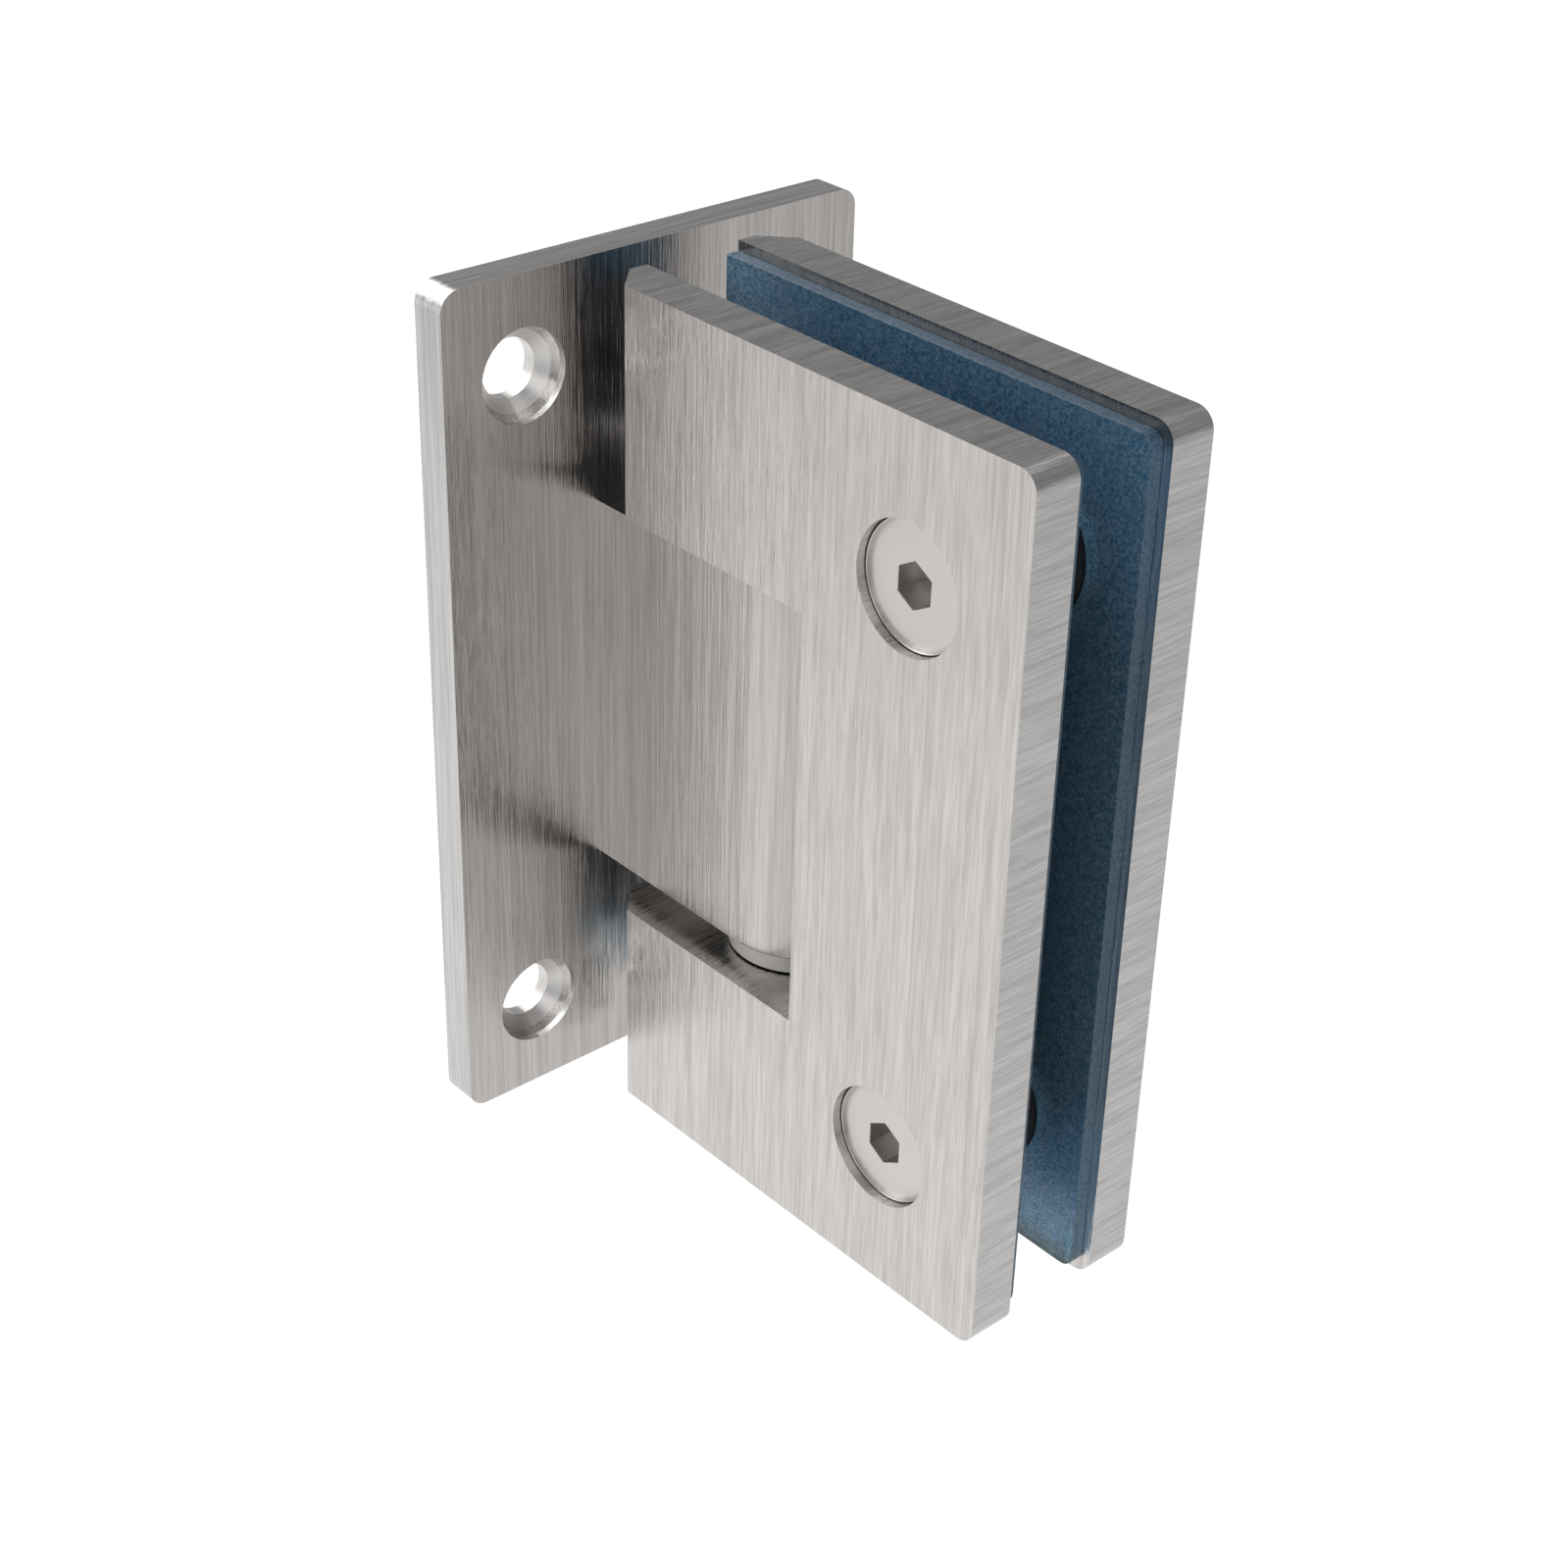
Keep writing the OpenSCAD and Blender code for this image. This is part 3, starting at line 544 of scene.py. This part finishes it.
# outline with rounded right-angle corners: each corner P, with unit directions back and on along
# its two edges, has the arc C - r (on cos t + back sin t) about C = P + r (back + on)
def roundedOutline(corners, radii, steps):
    corners, radii = np.array(corners, float), np.array(radii, float)[:, None, None]
    back, on = np.roll(corners, 1, axis=0) - corners, np.roll(corners, -1, axis=0) - corners
    back /= np.linalg.norm(back, axis=1, keepdims=True)
    on /= np.linalg.norm(on, axis=1, keepdims=True)
    t = np.linspace(0.0, math.pi / 2, steps)[None, :, None]
    spoke = on[:, None, :] * np.cos(t) + back[:, None, :] * np.sin(t)
    points = (corners + radii[:, 0] * (back + on))[:, None, :] - radii * spoke
    leftTurn = np.sign(back[:, 1] * on[:, 0] - back[:, 0] * on[:, 1])[:, None, None]
    return points.reshape(-1, 2), (-leftTurn * spoke).reshape(-1, 2)


# round hole: centre + r (cos a, sin a), and the way off the sheet is towards the centre
def holeOutline(centre, radius, steps):
    a = np.linspace(0.0, 2 * math.pi, steps, endpoint=False)
    spoke = np.stack([np.cos(a), np.sin(a)], axis=-1)
    return np.array(centre) + radius * spoke, -spoke


# the mesh of a new piece: doubles merged, normals turned out, smooth but for its sharp corners
def finishPiece(name, body, replaced, points, faces, material, openHeights=()):
    mesh = bpy.data.meshes.new(name)
    mesh.from_pydata((points * mm).tolist(), [], faces.tolist())
    work = bmesh.new()
    work.from_mesh(mesh)
    bmesh.ops.remove_doubles(work, verts=work.verts, dist=meshFinish["merge"])
    for height in openHeights:  # flats between the loops that lie at this height
        rim = [e for e in work.edges
               if e.is_boundary and abs(e.verts[0].co.y - height * mm) < meshFinish["merge"]]
        bmesh.ops.triangle_fill(work, edges=rim, use_beauty=True)
    bmesh.ops.recalc_face_normals(work, faces=work.faces)
    work.to_mesh(mesh)
    work.free()
    mesh.shade_smooth()
    mesh.set_sharp_from_angle(angle=math.radians(meshFinish["sharpAngle"]))
    mesh.materials.append(material)
    piece = bpy.data.objects.new(name, mesh)
    bpy.context.scene.collection.objects.link(piece)
    weights = piece.modifiers.new("evenNormals", "WEIGHTED_NORMAL")  # flats stay flat beside the rounds
    weights.keep_sharp = True
    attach(piece, body)
    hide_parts(*replaced)


gasketShape = {
    "wallEnd": 9.0, "glassEnd": 63.0, "halfHeight": 44.0, "cutOut": (38.45, 37.7),
    "outerRound": 1.5, "innerRound": 0.25, "roundSteps": 9,
    "face": 4.0, "back": 5.49, "faceRound": 0.14, "backRound": 0.06, "edgeSteps": 6,
    "holes": ((50.0, 29.5), (50.0, -29.5)), "holeRadius": 6.9, "holeSteps": 96,
}


# frosted liner, a sheet with a cut-out and two holes: the edge profile, round at the face and at the
# back, is carried along the outline and both holes; a point of it is outline - outward inset, at the
# profile's own height, and the flats between the loops are filled
def makeGasket(name, node, side, shape):
    wallEnd, glassEnd, top = shape["wallEnd"], shape["glassEnd"], shape["halfHeight"]
    cutX, cutZ = shape["cutOut"]
    corners = ((wallEnd, -top), (glassEnd, -top), (glassEnd, top), (wallEnd, top),
               (wallEnd, cutZ), (cutX, cutZ), (cutX, -cutZ), (wallEnd, -cutZ))
    outer, inner = shape["outerRound"], shape["innerRound"]
    radii = (inner, outer, outer, inner, inner, inner, inner, inner)
    loops = [roundedOutline(corners, radii, shape["roundSteps"])]
    loops += [holeOutline(centre, shape["holeRadius"], shape["holeSteps"]) for centre in shape["holes"]]
    t = np.linspace(0.0, math.pi / 2, shape["edgeSteps"])
    back, face = shape["backRound"], shape["faceRound"]
    inset = np.concatenate([back * (1 - np.sin(t)), face * (1 - np.cos(t))])
    height = np.concatenate([shape["back"] - back * (1 - np.cos(t)), shape["face"] + face * (1 - np.sin(t))])
    points, faces, start = [], [], 0
    for outline, outward in loops:
        flat = outline[:, None, :] - outward[:, None, :] * inset[None, :, None]
        level = np.broadcast_to(side * height, flat.shape[:2])
        points.append(np.stack([flat[..., 0], level, flat[..., 1]], axis=-1).reshape(-1, 3))
        faces.append(stripFaces(*flat.shape[:2], start))
        start += flat.shape[0] * flat.shape[1]
    finishPiece(name, "glass_clamp", [node], np.concatenate(points), np.concatenate(faces),
                gasketBlue, (side * shape["face"], side * shape["back"]))


makeGasket("frostedRearGasket", "rear_gasket", 1, gasketShape)
makeGasket("frostedFrontGasket", "front_gasket", -1, gasketShape)
print("gaskets made")


screwForm = {
    "around": 72,             # points round a screw, a multiple of twelve for the socket's corners
    "threadSteps": 8,         # along one pitch
    "threadDepth": 0.54,      # in pitches
    "threadFlats": 1.25,      # 1.0 is a sharp thread
    "drillPoint": 0.25,       # below the socket's floor, in widths of the socket
    "drillEdge": (0.55, 0.1),  # the same point's foot, as a share of the socket's radius and width
}


# screw along its axis from the head's face: radius over angle and depth. The six sided socket has
# radius a / cos(((angle + 30) mod 60) - 30); the thread is radius - depth times a triangle wave of
# (distance / pitch - angle / 360), which runs in and out over a turn at either end
def screwSurface(look, form):
    angle = np.linspace(0.0, 2 * math.pi, form["around"], endpoint=False)[:, None]
    ones = np.ones_like(angle)
    sixty = math.pi / 3
    socket, floor, bevel = look["socket"], look["socketDepth"], look["socketBevel"]
    hexagon = socket / 2 / np.cos((angle + sixty / 2) % sixty - sixty / 2)
    narrow, drop = form["drillEdge"]
    stations = [(0.0 * ones, floor + form["drillPoint"] * socket), (hexagon * narrow, floor + drop * socket),
                (hexagon, floor), (hexagon, bevel), (hexagon + bevel, 0.0)]
    stations += [(r * ones, h) for r, h in look["head"]]
    first, last = look["thread"]
    radius, pitch, flats = look["shank"] - look["play"], look["pitch"], form["threadFlats"]
    shank = np.arange(first, last + 1e-6, pitch / form["threadSteps"])
    wave = np.abs(2 * ((shank[None, :] / pitch - angle / (2 * math.pi)) % 1.0) - 1)
    wave = np.clip(flats * wave - (flats - 1) / 2, 0.0, 1.0)
    ramp = np.clip(np.minimum(shank - first, last - shank) / pitch, 0.0, 1.0)
    threaded = radius - form["threadDepth"] * pitch * wave * ramp
    end = last + look["tipBevel"]
    tip = np.array([(radius, last), (radius - look["tipBevel"], end), (0.0, end)])
    radii = np.concatenate([r for r, h in stations] + [threaded, tip[:, 0] * ones], axis=1)
    depths = np.concatenate([np.array([h for r, h in stations]), shank, tip[:, 1]])
    depths = np.broadcast_to(depths, radii.shape)
    return np.stack([radii * np.cos(angle), radii * np.sin(angle), depths], axis=-1)


# a rim arc from the head's flat face: r = edge - round + round sin a, h = round (1 - cos a)
def roundRim(edge, rim, steps):
    a = np.linspace(0.0, math.pi / 2, steps)
    return list(zip(edge - rim + rim * np.sin(a), rim * (1 - np.cos(a))))


# a head that falls away gently: an arc of the radius width / sin(slope) down to the slope given, then a
# fine raised lip, half a sine wave up and down
def softRim(edge, width, slope, lip, rise, steps):
    steep = math.radians(slope)
    wide = width / math.sin(steep)
    a = np.linspace(0.0, steep, steps)
    s = np.linspace(0.0, 1.0, steps)[1:]
    drop = wide * (1 - math.cos(steep))
    gentle = zip(edge - lip - width + wide * np.sin(a), wide * (1 - np.cos(a)))
    crisp = zip(edge - lip + lip * s, drop - rise * np.sin(math.pi * s))
    return list(gentle) + list(crisp)


# one surface set at each place, the middle of a screw's head, with its axis along Y or along X
def makeScrews(name, body, replaced, look, places, along, material):
    surface = screwSurface(look, screwForm)
    rows, columns = surface.shape[:2]
    across, up, deep = (surface[..., k].reshape(-1) for k in range(3))
    points, faces = [], []
    for number, (x, y, z) in enumerate(places):
        if along == "Y":
            points.append(np.stack([x + across, y + deep, z + up], axis=-1))
        else:
            points.append(np.stack([x + deep, y + across, z + up], axis=-1))
        faces.append(stripFaces(rows, columns, number * rows * columns))
    finishPiece(name, body, replaced, np.concatenate(points), np.concatenate(faces), material)


# in each dictionary, middle is where the upper screw's head lies, and head is its outline from the
# socket outwards, as radius and depth
clampScrew = {
    "middle": (50.0, -9.6, 29.5),
    "socket": 4.0, "socketDepth": 3.9, "socketBevel": 0.06,
    "head": softRim(edge=6.17, width=1.0, slope=15.0, lip=0.15, rise=0.06, steps=9)
    + [(6.17, 1.9), (6.07, 2.0), (3.25, 2.0), (3.0, 2.25)],
    "shank": 3.0, "play": 0.02, "pitch": 1.0, "thread": (4.3, 18.5), "tipBevel": 0.55,
}
for name, node, half in (("upperClampScrew", "upper_clamp_screw", 1),
                         ("lowerClampScrew", "lower_clamp_screw", -1)):
    x, y, z = clampScrew["middle"]
    makeScrews(name, "glass_clamp", [node], clampScrew, [(x, y, half * z)], "Y", satinSteel)

knuckleScrew = {
    "middle": (0.2, 0.0, 15.5),
    "socket": 3.0, "socketDepth": 1.6, "socketBevel": 0.05,
    "head": [(4.45, 0.0), (4.6, 0.12), (4.58, 0.2), (2.5, 2.1)],
    "shank": 2.5, "play": 0.02, "pitch": 0.8, "thread": (2.9, 14.4), "tipBevel": 0.4,
}
x, y, z = knuckleScrew["middle"]
makeScrews("knuckleFixingScrews", "wall_side", ["knuckle_screws"], knuckleScrew,
           [(x, y, z), (x, y, -z)], "X", blackOxide)

blockScrew = {
    "middle": (26.5, -5.1, 29.5), "spread": (7.25, 4.0),  # the pair stands slantwise about its middle
    "socket": 2.0, "socketDepth": 1.0, "socketBevel": 0.05,
    "head": roundRim(edge=2.75, rim=0.25, steps=5) + [(2.75, 1.95), (2.7, 2.0), (1.6, 2.0), (1.5, 2.1)],
    "shank": 1.5, "play": 0.02, "pitch": 0.5, "thread": (2.4, 14.3), "tipBevel": 0.3,
}
for name, node, half in (("upperBlockScrews", "upper_block_screws", 1),
                         ("lowerBlockScrews", "lower_block_screws", -1)):
    x, y, z = blockScrew["middle"]
    wide, high = blockScrew["spread"]
    spots = [(x + side * wide, y, half * (z + side * high)) for side in (-1, 1)]
    makeScrews(name, "glass_clamp", [node], blockScrew, spots, "Y", blackOxide)

pinGrub = {
    "middle": (15.55, 0.0, 29.5),
    "socket": 2.0, "socketDepth": 1.7, "socketBevel": 0.05,
    "head": [(1.75, 0.0), (1.98, 0.25)],
    "shank": 2.0, "play": 0.02, "pitch": 0.7, "thread": (0.3, 6.4), "tipBevel": 0.45,
}
for name, node, half in (("upperPinGrub", "upper_pin_grub", 1), ("lowerPinGrub", "lower_pin_grub", -1)):
    x, y, z = pinGrub["middle"]
    makeScrews(name, "glass_clamp", [node], pinGrub, [(x, y, half * z)], "X", blackOxide)
print("screws made")


studio = {
    "floorHeight": -0.465, "floorSize": 40.0,
    "glow": (0.955, 0.555), "glowMiddle": (-0.35, -0.30, 0.0), "glowReach": 1.9,
    "backdrop": 1.06, "sky": (0.27, 0.27, 0.273, 1.0),
    "aim": (0.03, 0.0, 0.0),  # where the panels look
}
panels = {
    "overheadPanel": {"place": (-0.4, 0.2, 3.0), "size": (4.0, 4.0), "radiance": 0.8},
    "sidePanel": {"place": (-1.40, -0.33, 0.90), "size": (1.65, 0.95), "radiance": 2.4},
    "sideHaloPanel": {"place": (-1.40, -0.33, 0.90), "size": (2.3, 1.5), "radiance": 0.9},
    "frontPanel": {"place": (0.95, -1.05, 0.72), "size": (1.8, 1.0), "radiance": 0.75},
    "lowPanel": {"place": (-1.15, -1.40, 0.06), "size": (1.3, 1.0), "radiance": 0.5},
}


# a light table far below the hinge: plain white where the camera looks at it, and a soft pool of
# light that falls off round its middle where the hinge mirrors it
def makeFloor(look):
    corners = np.array([[-1, -1], [1, -1], [1, 1], [-1, 1]]) * look["floorSize"] / 2
    mesh = bpy.data.meshes.new("studioFloor")
    points = np.column_stack([corners, np.full(4, look["floorHeight"])])
    mesh.from_pydata(points.tolist(), [], [(0, 1, 2, 3)])
    floor = bpy.data.objects.new("studioFloor", mesh)
    bpy.context.scene.collection.objects.link(floor)
    material, tree, shader = newMaterial("paleFloor")
    place = addNode(tree, "ShaderNodeTexCoord").outputs["Object"]
    flat = vectorOf(tree, "MULTIPLY", vectorOf(tree, "SUBTRACT", place, look["glowMiddle"]), (1.0, 1.0, 0.0))
    pool = rangeOf(tree, vectorOf(tree, "LENGTH", flat), 0.0, look["glowReach"], *look["glow"], smooth=True)
    seen = addNode(tree, "ShaderNodeLightPath").outputs["Is Camera Ray"]
    shader.inputs["Base Color"].default_value = (0.0, 0.0, 0.0, 1.0)
    shader.inputs["Specular IOR Level"].default_value = 0.0
    shader.inputs["Emission Color"].default_value = (1.0, 1.0, 1.0, 1.0)
    glow = mixOf(tree, seen, pool, look["backdrop"], kind="FLOAT")
    feed(tree, shader.inputs["Emission Strength"], glow)
    mesh.materials.append(material)


# an area light that looks at the hinge; its power is radiance times pi times its area
def makePanel(name, look, aim):
    data = bpy.data.lights.new(name, "AREA")
    data.shape = "RECTANGLE"
    data.size, data.size_y = look["size"]
    data.energy = look["radiance"] * math.pi * look["size"][0] * look["size"][1]
    light = bpy.data.objects.new(name, data)
    light.location = look["place"]
    light.rotation_mode = "QUATERNION"
    light.rotation_quaternion = (Vector(aim) - Vector(look["place"])).to_track_quat("-Z", "Y")
    bpy.context.scene.collection.objects.link(light)


# the sky is soft grey for reflections and white behind the hinge
def makeSky(look):
    world = bpy.data.worlds.new("studioSky")
    world.use_nodes = True
    tree = world.node_tree
    seen = addNode(tree, "ShaderNodeLightPath").outputs["Is Camera Ray"]
    white = (look["backdrop"],) * 3 + (1.0,)
    feed(tree, tree.nodes["Background"].inputs["Color"], mixOf(tree, seen, look["sky"], white))
    bpy.context.scene.world = world


makeFloor(studio)
for name, look in panels.items():
    makePanel(name, look, studio["aim"])
makeSky(studio)
bpy.context.scene.view_settings.view_transform = "Standard"
print("studio lit")
